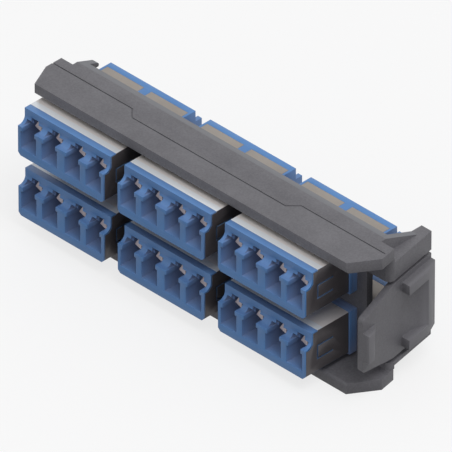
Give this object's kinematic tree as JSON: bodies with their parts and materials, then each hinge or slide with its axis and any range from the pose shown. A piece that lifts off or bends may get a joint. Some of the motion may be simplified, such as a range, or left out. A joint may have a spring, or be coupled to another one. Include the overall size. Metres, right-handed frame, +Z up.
{
  "type": "fibre adapter plate",
  "caption": "Moulded plate that carries rows of four-port fibre adapters with sheet-metal clips, and a sprung latch lever with a thumb pad at one end.",
  "frame": {"origin": "on the underside of the lower shelf, below the middle of the middle column of adapters, in the plane where the adapter halves meet", "axes": "+X along the plate towards the latch lever, +Y from the front ports to the rear ports, +Z up"},
  "size_m": [0.1024, 0.0305, 0.0335],
  "materials": {
    "frame_plastic": "dark grey moulded plastic, fine satin grain",
    "lever_plastic": "dark grey moulded plastic, fine satin grain",
    "adapter_plastic": "blue moulded plastic, semi-gloss",
    "clip_metal": "warm-toned spring sheet, satin",
    "sleeve_ceramic": "polished white ceramic"
  },
  "bodies": {
    "plate": {"frame": "frame_plastic", "front_housing_lower_left": "adapter_plastic", "rear_housing_lower_left": "adapter_plastic", "clip_lower_left": "clip_metal", "sleeves_lower_left": "sleeve_ceramic", "front_housing_lower_middle": "adapter_plastic", "rear_housing_lower_middle": "adapter_plastic", "clip_lower_middle": "clip_metal", "sleeves_lower_middle": "sleeve_ceramic", "front_housing_lower_right": "adapter_plastic", "rear_housing_lower_right": "adapter_plastic", "clip_lower_right": "clip_metal", "sleeves_lower_right": "sleeve_ceramic", "front_housing_upper_left": "adapter_plastic", "rear_housing_upper_left": "adapter_plastic", "clip_upper_left": "clip_metal", "sleeves_upper_left": "sleeve_ceramic", "front_housing_upper_middle": "adapter_plastic", "rear_housing_upper_middle": "adapter_plastic", "clip_upper_middle": "clip_metal", "sleeves_upper_middle": "sleeve_ceramic", "front_housing_upper_right": "adapter_plastic", "rear_housing_upper_right": "adapter_plastic", "clip_upper_right": "clip_metal", "sleeves_upper_right": "sleeve_ceramic"},
    "latch": {"latch_lever": "lever_plastic"}
  },
  "joints": [
    {"name": "latch_hinge", "type": "hinge", "parent": "plate", "child": "latch", "pos_m": [0.04808, 0.0149, 0.01493], "axis": [0, 0, -1], "range_deg": [0, 7], "stiffness_Nm_per_rad": 0.4}
  ]
}
